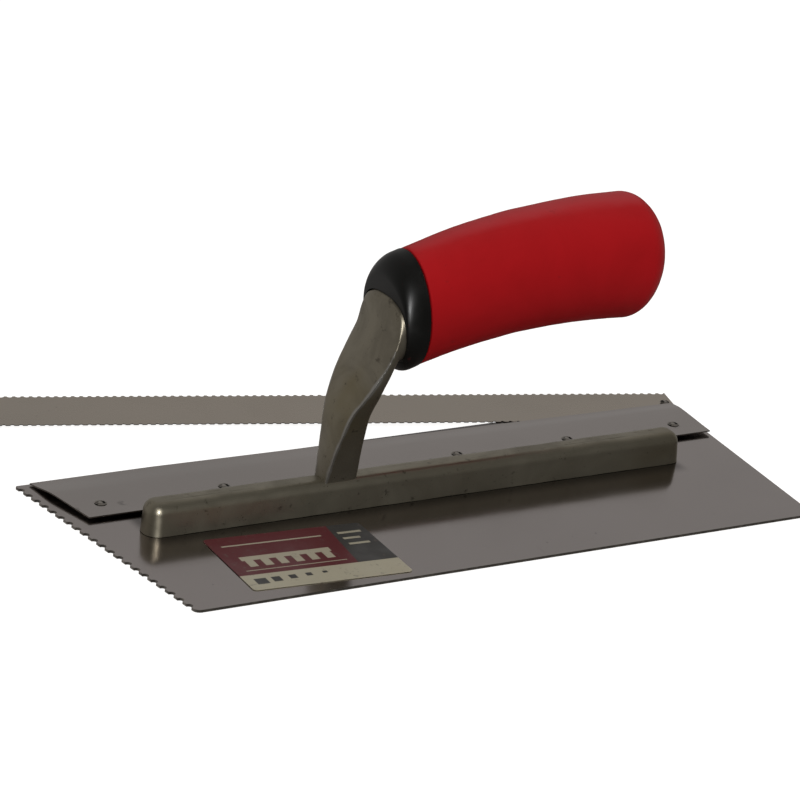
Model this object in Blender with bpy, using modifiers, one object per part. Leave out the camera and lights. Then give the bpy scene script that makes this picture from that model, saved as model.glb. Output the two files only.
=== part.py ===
"""Notched trowel: a thin steel blade with a clamp plate along its rear, a double-edged notched strip
that swings out from under the plate on a pin at its right end, and a curved grip on a neck and a long spine.

Metres, +Z up. The origin is on the blade's underside, at the middle of its length and depth. +X runs
along the blade, away from its notched end, and +Y runs from its front edge to its rear edge.
"""

import math

import bmesh
import bpy
from mathutils import Vector

MM = 0.001
GAP = 0.3 * MM  # between pieces that touch

# Blade: a trapezoid, longer at the rear, with round notches along its left end
REAR_LENGTH = 279.4 * MM
FRONT_LENGTH = 254.0 * MM
DEPTH = 114.3 * MM
BLADE_THICK = 1.0 * MM
FRONT_CORNER = 2.5 * MM
REAR_CORNER = 0.6 * MM
END_NOTCH_PITCH = 5.25 * MM
END_NOTCH_RADIUS = 1.4 * MM
END_NOTCH_START = 4.0 * MM
END_NOTCHES = 21

# Strip: both long edges are notched, and it turns on a pin at its right end
STRIP_LENGTH = 279.4 * MM
STRIP_WIDTH = 28.3 * MM
STRIP_THICK = 0.4 * MM
STRIP_NOTCHES = 88
STRIP_NOTCH_RADIUS = 1.05 * MM
PIVOT_X = 136.2 * MM
PIVOT_Y = 51.3 * MM
PIVOT_TO_END = 3.7 * MM
PIVOT_OFF_CENTRE = 3.2 * MM  # from the strip's centre line, towards its rear edge
STRIP_ANGLE = math.radians(-16.2)  # swung out of the slot, where 0 is closed

# Clamp plate: an arched sheet whose rear edge comes down towards the blade
PLATE_THICK = 0.5 * MM
PLATE_FRONT = 19.7 * MM
PLATE_REAR_LEFT = 52.0 * MM
PLATE_REAR_RIGHT = 48.2 * MM
PLATE_LEFT_INSETS = (7.3 * MM, 5.6 * MM)  # from the blade's end, at the sheet's front and at its rear
PLATE_RIGHT_INSETS = (0.2 * MM, 1.0 * MM)
PLATE_CREST = 42.0 * MM
FRONT_RISE = 1.05 * MM  # from the blade's top to the sheet's underside
CREST_RISE = 1.5 * MM
REAR_RISE = 1.0 * MM
ARCH_STEPS = 7

# Spacer bar under the plate, along the row of rivets
RIVET_ROW = 29.2 * MM
BAR_FRONT = 24.0 * MM
BAR_REAR = 33.0 * MM
BAR_HALF_LENGTH = 127.5 * MM
BAR_THICK = 0.4 * MM

# Fasteners
CLAMP_RIVETS = 6
CLAMP_RIVET_FIRST = -119.4 * MM
CLAMP_RIVET_PITCH = 48.8 * MM
CLAMP_RIVET_RADIUS = 1.3 * MM
CLAMP_HEAD_RADIUS = 2.3 * MM
PIN_RADIUS = 1.2 * MM
PIN_HEAD_RADIUS = 1.9 * MM
SPINE_RIVETS = 6
SPINE_RIVET_FIRST = -103.0 * MM
SPINE_RIVET_PITCH = 38.5 * MM
SPINE_RIVET_RADIUS = 1.6 * MM
SPINE_RIVET_TOP = 7.0 * MM
COUNTERSINK = 0.9 * MM  # how much a tail's flush head widens, and how tall it is
TAIL_RAISE = 0.1 * MM  # a tail stays this far above the blade's underside

# Spine: the long rib in front of the plate
SPINE_LEFT = -115.6 * MM
SPINE_RIGHT = 107.2 * MM
SPINE_FRONT = -0.9 * MM
SPINE_WIDTH = 11.5 * MM
SPINE_HEIGHT = 9.9 * MM
SPINE_NOSE = 5.3 * MM
SPINE_CORNER = 3.4 * MM
SPINE_EDGE = 2.2 * MM
MID_Y = SPINE_FRONT + SPINE_WIDTH / 2  # the plane that halves the spine, the neck and the handle

# Neck, from the spine to the handle
TENON_RADIUS = 3.5 * MM
TENON_DEPTH = 6.5 * MM
BOSS_TOP = 8.6 * MM  # above the handle's centre line
BOSS_BOTTOM = 14.4 * MM
BOSS_HALF_WIDTH = 14.2 * MM
BOSS_SQUARE = 2.6  # where 2 is an ellipse
NECK_POINTS = 28
NECK_STEPS = 3  # rings from one section to the next

# Handle: its centre line is an arc, and every section is an ellipse
HANDLE_X = -17.1 * MM
HANDLE_Z = 73.5 * MM
HANDLE_SLOPE = math.radians(16.9)
HANDLE_BEND = math.radians(-0.212) / MM  # slope lost for each metre along the arc
SLEEVE_LENGTH = 102.3 * MM
HALF_HEIGHT = 21.3 * MM
HALF_HEIGHT_GAIN = 2.2 * MM
WIDTH_SHARE_FRONT = 0.77
WIDTH_SHARE_REAR = 0.95
FRONT_LEAN = math.radians(-10.8)  # the collar's faces lean back from square
LEAN_FADES = 30.0 * MM
DOME_LENGTH = 12.9 * MM
SLEEVE_WALL = 3.0 * MM
CORE_LENGTH = 88.0 * MM
COLLAR_LENGTH = 9.3 * MM
COLLAR_ROUND = 6.4 * MM  # at the top and bottom of its front face
COLLAR_SIDE_ROUND = 1.5 * MM
HANDLE_POINTS = 32

# Tang rod through the handle, with its washer and nut
ROD_START_X = -20.1 * MM
ROD_START_Z = 70.0 * MM
ROD_SLOPE = math.radians(8.0)
ROD_RADIUS = 3.0 * MM
ROD_LENGTH = 92.5 * MM
POCKET_START = 83.0 * MM
POCKET_RADIUS = 9.0 * MM
WASHER_RADIUS = 8.2 * MM
WASHER_THICK = 1.5 * MM
NUT_RADIUS = 5.8 * MM
NUT_THICK = 5.0 * MM
SOCKET_END = -1.5 * MM  # along the handle's centre line, where 0 is the sleeve's front

# Label on the blade, in front of the spine
LABEL_X = -70.2 * MM
LABEL_Y = -30.6 * MM
LABEL_LENGTH = 60.0 * MM
LABEL_DEPTH = 42.3 * MM
LABEL_TURN = math.radians(-3.6)
LABEL_CORNER = 1.6 * MM
LABEL_THICK = 0.2 * MM
LABEL_RAISE = 0.1 * MM

BLADE_TOP = BLADE_THICK
SPINE_BOTTOM = BLADE_TOP + GAP
SPINE_TOP = SPINE_BOTTOM + SPINE_HEIGHT
STRIP_BOTTOM = BLADE_TOP + GAP
NECK_BOTTOM = SPINE_TOP + GAP


def start_collection(name):
    made = bpy.data.collections.new(name)
    bpy.context.scene.collection.children.link(made)
    return made


for old in list(bpy.data.objects):
    bpy.data.objects.remove(old, do_unlink=True)
PARTS = start_collection("notched_trowel")
CUTTERS = start_collection("cutters")
CUTTERS.hide_render = True


def finish_material(name, color, roughness, metallic):
    made = bpy.data.materials.new(name)
    made.use_nodes = True
    shader = made.node_tree.nodes["Principled BSDF"]
    shader.inputs["Base Color"].default_value = (*color, 1.0)
    shader.inputs["Roughness"].default_value = roughness
    shader.inputs["Metallic"].default_value = metallic
    return made


def add_object(name, mesh, material=None, smooth_angle=None):
    """Without a material the object is a cutter."""
    made = bpy.data.objects.new(name, mesh)
    if material is None:
        CUTTERS.objects.link(made)
        made.hide_render = True
        made.display_type = "WIRE"
        return made
    PARTS.objects.link(made)
    if not mesh.materials:
        mesh.materials.append(material)
    if smooth_angle:
        mesh.shade_smooth()
        mesh.set_sharp_from_angle(angle=math.radians(smooth_angle))
    return made


def mesh_from(name, build):
    """A mesh filled by the function build, which takes an empty bmesh."""
    shape = bmesh.new()
    build(shape)
    mesh = bpy.data.meshes.new(name)
    shape.to_mesh(mesh)
    shape.free()
    return mesh


def cut(target, *cutters):
    for cutter in cutters:
        modifier = target.modifiers.new("cut_" + cutter.name, "BOOLEAN")
        modifier.operation = "DIFFERENCE"
        modifier.solver = "EXACT"
        modifier.object = cutter


# Outlines, counterclockwise seen from above


def circle(x, y, radius, steps=16):
    turns = (2 * math.pi * i / steps for i in range(steps))
    return [(x + radius * math.cos(a), y + radius * math.sin(a)) for a in turns]


def rounded_corner(before, corner, after, radius, steps=5):
    """The arc that replaces a corner of an outline."""
    corner = Vector(corner)
    back = (Vector(before) - corner).normalized()
    ahead = (Vector(after) - corner).normalized()
    half = back.angle(ahead) / 2
    centre = corner + (back + ahead).normalized() * radius / math.sin(half)
    first = corner + back * radius / math.tan(half) - centre
    last = corner + ahead * radius / math.tan(half) - centre
    sweep = math.pi - 2 * half
    points = []
    for i in range(steps + 1):
        part = i / steps
        arm = first * math.sin((1 - part) * sweep) + last * math.sin(part * sweep)
        points.append(tuple(centre + arm / math.sin(sweep)))
    return points


def rounded_outline(corners, radii, steps=5):
    points = []
    for i, corner in enumerate(corners):
        after = corners[(i + 1) % len(corners)]
        points += rounded_corner(corners[i - 1], corner, after, radii[i], steps)
    return points


def notches(start, end, first, pitch, count, radius, steps=4):
    """Half-round notches into the edge that runs from start to end, with the piece on its left."""
    start = Vector(start)
    along = (Vector(end) - start).normalized()
    inward = Vector((-along.y, along.x))
    points = []
    for i in range(count):
        centre = start + along * (first + pitch * i)
        for k in range(steps + 1):
            turn = math.pi * k / steps
            points.append(tuple(centre - along * radius * math.cos(turn) + inward * radius * math.sin(turn)))
    return points


def flat_mesh(name, outlines, bottom, top):
    """The first outline extruded from bottom to top, with the other outlines as holes through it."""
    curve = bpy.data.curves.new(name + "_outline", "CURVE")
    curve.dimensions = "2D"
    curve.fill_mode = "BOTH"
    curve.extrude = (top - bottom) / 2
    for outline in outlines:
        spline = curve.splines.new("POLY")
        spline.points.add(len(outline) - 1)
        spline.use_cyclic_u = True
        for point, (x, y) in zip(spline.points, outline):
            point.co = (x, y, 0, 1)
    guide = bpy.data.objects.new(name + "_guide", curve)
    CUTTERS.objects.link(guide)
    bpy.context.view_layer.update()
    mesh = bpy.data.meshes.new_from_object(guide.evaluated_get(bpy.context.evaluated_depsgraph_get()))
    bpy.data.objects.remove(guide, do_unlink=True)
    mesh.name = name
    shape = bmesh.new()
    shape.from_mesh(mesh)
    bmesh.ops.remove_doubles(shape, verts=shape.verts, dist=0.001 * MM)
    bmesh.ops.translate(shape, verts=shape.verts, vec=(0, 0, (bottom + top) / 2))
    bmesh.ops.recalc_face_normals(shape, faces=shape.faces)
    shape.to_mesh(mesh)
    shape.free()
    return mesh


# Turned and lofted shapes


def turned(name, profile, material, mesh=None, steps=16):
    """A piece turned about its own Z axis. The profile is (radius, height), from top to bottom."""
    if mesh is None:
        mesh = bpy.data.meshes.new(name)
        edges = [(i, i + 1) for i in range(len(profile) - 1)]
        mesh.from_pydata([(radius, 0, height) for radius, height in profile], edges, [])
    made = add_object(name, mesh, material)
    screw = made.modifiers.new("turn", "SCREW")
    screw.axis = "Z"
    screw.steps = steps
    screw.render_steps = steps
    screw.use_merge_vertices = True
    screw.merge_threshold = 0.001 * MM
    screw.use_smooth_shade = material is not None
    return made


def loft(name, rings, material=None, smooth_angle=None):
    """One skin through rings of equal length, closed by a flat cap at each end."""

    def build(shape):
        loops = [[shape.verts.new(point) for point in ring] for ring in rings]
        for near, far in zip(loops, loops[1:]):
            for i in range(len(near)):
                shape.faces.new((near[i - 1], near[i], far[i], far[i - 1]))
        shape.faces.new(loops[0])
        shape.faces.new(loops[-1])
        bmesh.ops.recalc_face_normals(shape, faces=shape.faces)

    return add_object(name, mesh_from(name, build), material, smooth_angle)


# Blade, strip and clamp plate


def half_length(y):
    """Half of the blade's length at this depth."""
    share = y / DEPTH + 0.5
    return (FRONT_LENGTH + (REAR_LENGTH - FRONT_LENGTH) * share) / 2


def clamp_rivet_places():
    return [(CLAMP_RIVET_FIRST + CLAMP_RIVET_PITCH * i, RIVET_ROW) for i in range(CLAMP_RIVETS)]


def spine_rivet_places():
    return [(SPINE_RIVET_FIRST + SPINE_RIVET_PITCH * i, MID_Y) for i in range(SPINE_RIVETS)]


def countersink(name, x, y, radius):
    """A hole through the blade that widens to its underside, for a flush tail of this radius."""
    hole = radius + GAP
    over = 1.0 * MM
    profile = [
        (0, BLADE_TOP + over),
        (hole, BLADE_TOP + over),
        (hole, COUNTERSINK),
        (hole + COUNTERSINK + over, -over),
        (0, -over),
    ]
    cutter = turned(name, profile, None)
    cutter.location = (x, y, 0)
    return cutter


def tail(radius):
    """The lower end of a rivet's profile: its shank, then its flush head in the countersink."""
    top = COUNTERSINK + TAIL_RAISE
    return [(radius, top), (radius + COUNTERSINK - GAP / 2, TAIL_RAISE), (0, TAIL_RAISE)]


def make_blade(material):
    rear, front = REAR_LENGTH / 2, FRONT_LENGTH / 2
    corners = [(-front, -DEPTH / 2), (front, -DEPTH / 2), (rear, DEPTH / 2), (-rear, DEPTH / 2)]
    radii = [FRONT_CORNER, FRONT_CORNER, REAR_CORNER, REAR_CORNER]
    outline = rounded_outline(corners, radii)
    outline += notches(
        corners[3], corners[0], END_NOTCH_START, END_NOTCH_PITCH, END_NOTCHES, END_NOTCH_RADIUS
    )
    blade = add_object("base_blade", flat_mesh("base_blade", [outline], 0, BLADE_THICK), material)
    holes = [(x, y, CLAMP_RIVET_RADIUS) for x, y in clamp_rivet_places()]
    holes += [(x, y, SPINE_RIVET_RADIUS) for x, y in spine_rivet_places()]
    holes.append((PIVOT_X, PIVOT_Y, PIN_RADIUS))
    cut(blade, *[countersink(f"blade_hole_{i}", *hole) for i, hole in enumerate(holes, 1)])


def make_strip(material):
    """Its origin is on the pivot pin's axis."""
    left, right = PIVOT_TO_END - STRIP_LENGTH, PIVOT_TO_END
    front = -STRIP_WIDTH / 2 - PIVOT_OFF_CENTRE
    rear = front + STRIP_WIDTH
    pitch = STRIP_LENGTH / STRIP_NOTCHES
    row = (pitch / 2, pitch, STRIP_NOTCHES, STRIP_NOTCH_RADIUS, 3)
    outline = [(left, front), *notches((left, front), (right, front), *row), (right, front)]
    outline += [(right, rear), *notches((right, rear), (left, rear), *row), (left, rear)]
    hole = circle(0, 0, PIN_RADIUS + GAP)
    mesh = flat_mesh("notched_strip", [outline, hole], 0, STRIP_THICK)
    strip = add_object("notched_strip", mesh, material)
    strip.location = (PIVOT_X, PIVOT_Y, STRIP_BOTTOM)
    strip.rotation_euler.z = STRIP_ANGLE


def half_wave(low, high, share):
    return low + (high - low) * (1 - math.cos(math.pi * share)) / 2


def make_clamp_plate(material):
    """An open surface along the sheet's underside, thickened upwards. It rises in a half wave from its
    front edge to its crest, and falls in another to its rear edge, which tapers towards the right."""

    def row(shape, y_left, y_right, rise):
        share = (y_left - PLATE_FRONT) / (PLATE_REAR_LEFT - PLATE_FRONT)
        insets = [near + (far - near) * share for near, far in (PLATE_LEFT_INSETS, PLATE_RIGHT_INSETS)]
        left, right = insets[0] - half_length(y_left), half_length(y_right) - insets[1]
        z = BLADE_TOP + rise
        return [shape.verts.new((left, y_left, z)), shape.verts.new((right, y_right, z))]

    def build(shape):
        rows = []
        for i in range(ARCH_STEPS):
            share = i / ARCH_STEPS
            y = PLATE_FRONT + (PLATE_CREST - PLATE_FRONT) * share
            rows.append(row(shape, y, y, half_wave(FRONT_RISE, CREST_RISE, share)))
        for i in range(ARCH_STEPS + 1):
            share = i / ARCH_STEPS
            y_left = PLATE_CREST + (PLATE_REAR_LEFT - PLATE_CREST) * share
            y_right = PLATE_CREST + (PLATE_REAR_RIGHT - PLATE_CREST) * share
            rows.append(row(shape, y_left, y_right, half_wave(CREST_RISE, REAR_RISE, share)))
        for near, far in zip(rows, rows[1:]):
            shape.faces.new((near[0], near[1], far[1], far[0]))

    plate = add_object("clamp_plate", mesh_from("clamp_plate", build), material)
    solidify = plate.modifiers.new("sheet", "SOLIDIFY")
    solidify.thickness = PLATE_THICK
    solidify.offset = 1.0
    for i, (x, y) in enumerate(clamp_rivet_places(), 1):
        hole = circle(x, y, CLAMP_RIVET_RADIUS + GAP)
        mesh = flat_mesh(f"plate_hole_{i}", [hole], BLADE_TOP, SPINE_TOP)
        cut(plate, add_object(f"plate_hole_{i}", mesh))


def make_spacer_bar(material):
    ends = ((-BAR_HALF_LENGTH, BAR_FRONT), (BAR_HALF_LENGTH, BAR_FRONT))
    corners = [*ends, (BAR_HALF_LENGTH, BAR_REAR), (-BAR_HALF_LENGTH, BAR_REAR)]
    outline = rounded_outline(corners, [1.0 * MM] * len(corners), steps=3)
    holes = [circle(x, y, CLAMP_RIVET_RADIUS + GAP) for x, y in clamp_rivet_places()]
    bottom = BLADE_TOP + GAP
    mesh = flat_mesh("spacer_bar", [outline, *holes], bottom, bottom + BAR_THICK)
    add_object("spacer_bar", mesh, material)


def make_clamp_rivets(material):
    """Each head is a raised ring with a domed middle, and clears the plate at its highest, rear side."""
    head_rear = (RIVET_ROW + CLAMP_HEAD_RADIUS - PLATE_FRONT) / (PLATE_CREST - PLATE_FRONT)
    seat = BLADE_TOP + half_wave(FRONT_RISE, CREST_RISE, head_rear) + PLATE_THICK + GAP
    profile = [
        (0, seat + 0.5 * MM),
        (0.6 * MM, seat + 0.45 * MM),
        (1.1 * MM, seat + 0.2 * MM),
        (1.7 * MM, seat + 0.35 * MM),
        (CLAMP_HEAD_RADIUS, seat + 0.15 * MM),
        (CLAMP_HEAD_RADIUS, seat),
        (CLAMP_RIVET_RADIUS, seat),
        *tail(CLAMP_RIVET_RADIUS),
    ]
    mesh = None
    for i, (x, y) in enumerate(clamp_rivet_places(), 1):
        rivet = turned(f"clamp_rivet_{i}", profile, material, mesh)
        rivet.location = (x, y, 0)
        mesh = rivet.data


def make_pivot_pin(material):
    seat = STRIP_BOTTOM + STRIP_THICK + GAP
    profile = [
        (0, seat + 0.6 * MM),
        (0.9 * MM, seat + 0.5 * MM),
        (1.6 * MM, seat + 0.25 * MM),
        (PIN_HEAD_RADIUS, seat),
        (PIN_RADIUS, seat),
        *tail(PIN_RADIUS),
    ]
    pin = turned("strip_pivot_pin", profile, material)
    pin.location = (PIVOT_X, PIVOT_Y, 0)


# Spine and neck


def spine_ring(inset, z):
    left, right = SPINE_LEFT + inset, SPINE_RIGHT - inset
    front, rear = SPINE_FRONT + inset, SPINE_FRONT + SPINE_WIDTH - inset
    corners = [(left, front), (right, front), (right, rear), (left, rear)]
    nose, corner = SPINE_NOSE - inset, SPINE_CORNER - inset
    return [(x, y, z) for x, y in rounded_outline(corners, [nose, corner, corner, nose], steps=7)]


def make_spine(material):
    """Its top edge is rounded all the way round."""
    rings = [spine_ring(0, SPINE_BOTTOM)]
    steps = 5
    for i in range(steps + 1):
        turn = math.radians(90) * i / steps
        drop = SPINE_EDGE * (1 - math.sin(turn))
        rings.append(spine_ring(SPINE_EDGE * (1 - math.cos(turn)), SPINE_TOP - drop))
    spine = loft("spine", rings, material, smooth_angle=35)
    bore = circle(*tenon_place(), TENON_RADIUS + GAP)
    bore_bottom = NECK_BOTTOM - TENON_DEPTH - GAP
    cut(spine, add_object("tenon_bore", flat_mesh("tenon_bore", [bore], bore_bottom, SPINE_TOP + GAP)))
    for i, (x, y) in enumerate(spine_rivet_places(), 1):
        hole = circle(x, y, SPINE_RIVET_RADIUS + GAP)
        mesh = flat_mesh(f"spine_hole_{i}", [hole], 0, SPINE_RIVET_TOP + GAP)
        cut(spine, add_object(f"spine_hole_{i}", mesh))


def make_spine_rivets(material):
    profile = [
        (0, SPINE_RIVET_TOP),
        (SPINE_RIVET_RADIUS - GAP, SPINE_RIVET_TOP),
        (SPINE_RIVET_RADIUS, SPINE_RIVET_TOP - GAP),
        *tail(SPINE_RIVET_RADIUS),
    ]
    mesh = None
    for i, (x, y) in enumerate(spine_rivet_places(), 1):
        rivet = turned(f"spine_rivet_{i}", profile, material, mesh)
        rivet.location = (x, y, 0)
        mesh = rivet.data


def neck_sections():
    """From the foot to the handle: outer x and z, inner x and z and half width, all in millimetres, then
    where the widest point is (0 at the outer side, 1 at the inner) and how square the inner side is."""
    foot = NECK_BOTTOM / MM
    return (
        (-46.8, foot, -33.0, foot, 3.9, 0.04, 9.0),
        (-45.6, 21.8, -32.6, 21.3, 5.5, 0.06, 7.0),
        (-44.4, 29.4, -32.2, 28.4, 7.2, 0.08, 5.0),
        (-42.4, 39.2, -31.6, 36.7, 9.6, 0.10, 4.0),
        (-37.9, 49.2, -29.6, 44.7, 12.8, 0.15, 3.2),
        (-32.5, 60.0, -28.0, 50.0, 14.2, 0.20, 2.8),
        (-29.7, 68.5, -26.3, 53.6, 14.2, 0.30, 2.7),
    )


def tenon_place():
    outer, _, inner = neck_sections()[0][:3]
    return (outer + inner) / 2 * MM, MID_Y


def smooth_between(before, low, high, after, share):
    """A Catmull-Rom curve through low and high."""
    bend = 2 * before - 5 * low + 4 * high - after
    twist = 3 * (low - high) + after - before
    return low + share * (high - before + share * (bend + share * twist)) / 2


def neck_ring(section):
    outer_x, outer_z, inner_x, inner_z, half_width, waist, square = section
    outer = Vector((outer_x, MID_Y / MM, outer_z)) * MM
    across = Vector((inner_x, MID_Y / MM, inner_z)) * MM - outer
    points = []
    for i in range(NECK_POINTS):
        turn = 2 * math.pi * (i + 0.5) / NECK_POINTS
        side, depth = math.cos(turn), math.sin(turn)
        power = 2 / (square if depth > 0 else 2 + (square - 2) * waist * 2)
        reach = math.copysign(abs(depth) ** power, depth) * ((1 - waist) if depth > 0 else waist)
        spread = math.copysign(abs(side) ** power, side) * half_width * MM
        points.append(outer + across * (waist + reach) + Vector((0, spread, 0)))
    return points


def boss_section(s):
    """The neck's round end, square to the handle's centre line at s."""
    centre, up = handle_section(s)
    outer, inner = centre + up * BOSS_TOP, centre - up * BOSS_BOTTOM
    return (*(outer.xz / MM), *(inner.xz / MM), BOSS_HALF_WIDTH / MM, 0.5, BOSS_SQUARE)


def make_neck(material):
    keys = list(neck_sections())
    keys += [boss_section(-COLLAR_LENGTH - 2 * GAP), boss_section(SOCKET_END)]
    rings = []
    for depth in (NECK_BOTTOM - TENON_DEPTH, NECK_BOTTOM):
        x, y = tenon_place()
        turns = (2 * math.pi * (i + 0.5) / NECK_POINTS for i in range(NECK_POINTS))
        rings.append(
            [(x + TENON_RADIUS * math.sin(a), y + TENON_RADIUS * math.cos(a), depth) for a in turns]
        )
    last_smooth = len(keys) - 2  # from here the boss is straight
    for i in range(len(keys) - 1):
        steps = NECK_STEPS if i < last_smooth else 1
        before, after = keys[max(i - 1, 0)], keys[min(i + 2, len(keys) - 1)]
        for k in range(steps):
            rows = zip(before, keys[i], keys[i + 1], after)
            rings.append(neck_ring([smooth_between(*row, k / steps) for row in rows]))
    rings.append(neck_ring(keys[-1]))
    neck = loft("shank", rings, material, smooth_angle=40)
    cut(neck, rod_cutter("shank_bore", ROD_RADIUS + GAP, -GAP, ROD_LENGTH))


# Handle


def handle_section(s, lean=FRONT_LEAN):
    """The centre and the upward vector of the section at s along the centre line."""
    slope = HANDLE_SLOPE + HANDLE_BEND * s
    x = HANDLE_X + (math.sin(slope) - math.sin(HANDLE_SLOPE)) / HANDLE_BEND
    z = HANDLE_Z - (math.cos(slope) - math.cos(HANDLE_SLOPE)) / HANDLE_BEND
    faded = lean * min(max(1 - s / LEAN_FADES, 0), 1)
    up = Vector((-math.sin(slope + faded), 0, math.cos(slope + faded))) / math.cos(faded)
    return Vector((x, MID_Y, z)), up


def handle_ring(s, inset=0.0, shrink=1.0, side_inset=None):
    """An ellipse, moved in by the inset (all round unless the sides have their own) and then shrunk."""
    side_inset = inset if side_inset is None else side_inset
    centre, up = handle_section(s)
    share = min(max(s / SLEEVE_LENGTH, 0), 1)
    height = HALF_HEIGHT + HALF_HEIGHT_GAIN * share
    width = height * (WIDTH_SHARE_FRONT + (WIDTH_SHARE_REAR - WIDTH_SHARE_FRONT) * share)
    points = []
    for i in range(HANDLE_POINTS):
        turn = 2 * math.pi * i / HANDLE_POINTS
        rise = (height - inset) * shrink * math.cos(turn)
        spread = (width - side_inset) * shrink * math.sin(turn)
        points.append(centre + up * rise + Vector((0, spread, 0)))
    return points


def dome(end, length, inset, steps):
    """Rings that close a skin towards end over this length, as a quarter ellipse."""
    turns = [math.radians(84) * (i + 1) / steps for i in range(steps)]
    return [handle_ring(end - length * (1 - math.sin(a)), inset, math.cos(a)) for a in turns]


def along_handle(start, end, steps, inset):
    return [handle_ring(start + (end - start) * i / steps, inset) for i in range(steps + 1)]


def make_grip_sleeve(material):
    inner_end = SLEEVE_LENGTH - SLEEVE_WALL - MM
    inner_dome = DOME_LENGTH - SLEEVE_WALL
    inner = along_handle(GAP, inner_end - inner_dome, 7, SLEEVE_WALL)
    inner += dome(inner_end, inner_dome, SLEEVE_WALL, steps=4)
    outer = along_handle(GAP, SLEEVE_LENGTH - DOME_LENGTH, 9, 0)
    outer += dome(SLEEVE_LENGTH, DOME_LENGTH, 0, steps=7)
    loft("grip_sleeve", inner[::-1] + outer, material, smooth_angle=50)


def make_handle_core(material):
    rings = []
    for i in range(5):
        turn = math.radians(90) * i / 4
        s = COLLAR_ROUND * (1 - math.sin(turn)) - COLLAR_LENGTH
        share = 1 - math.cos(turn)
        rings.append(handle_ring(s, COLLAR_ROUND * share, side_inset=COLLAR_SIDE_ROUND * share))
    rings = rings[::-1]
    rings.append(handle_ring(0))
    rings += along_handle(0, CORE_LENGTH, 7, SLEEVE_WALL + GAP)
    core = loft("handle_core", rings, material, smooth_angle=40)
    reach = 4.0 * MM
    mouth, floor = boss_section(-COLLAR_LENGTH - reach), boss_section(SOCKET_END + GAP)
    socket = loft("boss_socket", [neck_ring(wider(mouth)), neck_ring(wider(floor))])
    bore = rod_cutter("core_bore", ROD_RADIUS + GAP, 0, ROD_LENGTH)
    cut(core, socket, bore, rod_cutter("nut_pocket", POCKET_RADIUS, POCKET_START, ROD_LENGTH))


def wider(section):
    """A neck section that leaves the gap all round."""
    outer_x, outer_z, inner_x, inner_z, half_width, *rest = section
    outer, inner = Vector((outer_x, outer_z)), Vector((inner_x, inner_z))
    step = (outer - inner).normalized() * GAP / MM
    return (*(outer + step), *(inner - step), half_width + GAP / MM, *rest)


# Tang rod


def on_rod(piece, start):
    """Lays a piece that is made along Z on the rod's axis."""
    piece.location = (
        ROD_START_X + start * math.cos(ROD_SLOPE),
        MID_Y,
        ROD_START_Z + start * math.sin(ROD_SLOPE),
    )
    piece.rotation_euler.y = math.pi / 2 - ROD_SLOPE
    return piece


def rod_cutter(name, radius, start, end):
    over = 12.0 * MM
    return on_rod(add_object(name, flat_mesh(name, [circle(0, 0, radius)], 0, end - start + over)), start)


def make_tang(material):
    profile = [
        (0, ROD_LENGTH),
        (ROD_RADIUS - MM / 2, ROD_LENGTH),
        (ROD_RADIUS, ROD_LENGTH - MM / 2),
        (ROD_RADIUS, 0),
        (0, 0),
    ]
    on_rod(turned("tang_rod", profile, material), 0)
    bore = circle(0, 0, ROD_RADIUS + GAP)
    washer = flat_mesh("tang_washer", [circle(0, 0, WASHER_RADIUS, 24), bore], 0, WASHER_THICK)
    washer_start = POCKET_START + GAP
    on_rod(add_object("tang_washer", washer, material, smooth_angle=30), washer_start)
    nut = flat_mesh("tang_nut", [circle(0, 0, NUT_RADIUS, 6), bore], 0, NUT_THICK)
    on_rod(add_object("tang_nut", nut, material), washer_start + WASHER_THICK + GAP)


def make_label(material):
    x, y = LABEL_LENGTH / 2, LABEL_DEPTH / 2
    corners = [(-x, -y), (x, -y), (x, y), (-x, y)]
    outline = rounded_outline(corners, [LABEL_CORNER] * len(corners))
    label = add_object("label_plate", flat_mesh("label_plate", [outline], 0, LABEL_THICK), material)
    label.location = (LABEL_X, LABEL_Y, BLADE_TOP + LABEL_RAISE)
    label.rotation_euler.z = LABEL_TURN


make_blade(finish_material("blade_steel", (0.42, 0.40, 0.38), 0.28, 1.0))
make_strip(finish_material("strip_steel", (0.46, 0.43, 0.38), 0.38, 1.0))
make_clamp_plate(finish_material("plate_steel", (0.40, 0.38, 0.36), 0.30, 1.0))
make_spacer_bar(finish_material("bar_steel", (0.30, 0.29, 0.27), 0.50, 1.0))
make_clamp_rivets(finish_material("clamp_rivet_steel", (0.50, 0.46, 0.38), 0.35, 1.0))
make_pivot_pin(finish_material("pin_steel", (0.30, 0.28, 0.25), 0.40, 1.0))
make_spine(finish_material("spine_alloy", (0.22, 0.20, 0.15), 0.48, 0.9))
make_spine_rivets(finish_material("spine_rivet_steel", (0.40, 0.39, 0.36), 0.40, 1.0))
make_neck(finish_material("shank_alloy", (0.25, 0.22, 0.16), 0.45, 0.9))
make_handle_core(finish_material("core_plastic", (0.012, 0.012, 0.012), 0.40, 0.0))
make_grip_sleeve(finish_material("sleeve_rubber", (0.30, 0.012, 0.018), 0.55, 0.0))
make_tang(finish_material("tang_steel", (0.45, 0.44, 0.42), 0.35, 1.0))
make_label(finish_material("label_print", (0.30, 0.06, 0.06), 0.40, 0.0))
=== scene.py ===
"""Looks for the notched trowel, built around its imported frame. Metres, +Z up, in the part's own frame."""

import math

import bmesh
import bpy
from mathutils import Matrix, Vector, kdtree, noise


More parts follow.
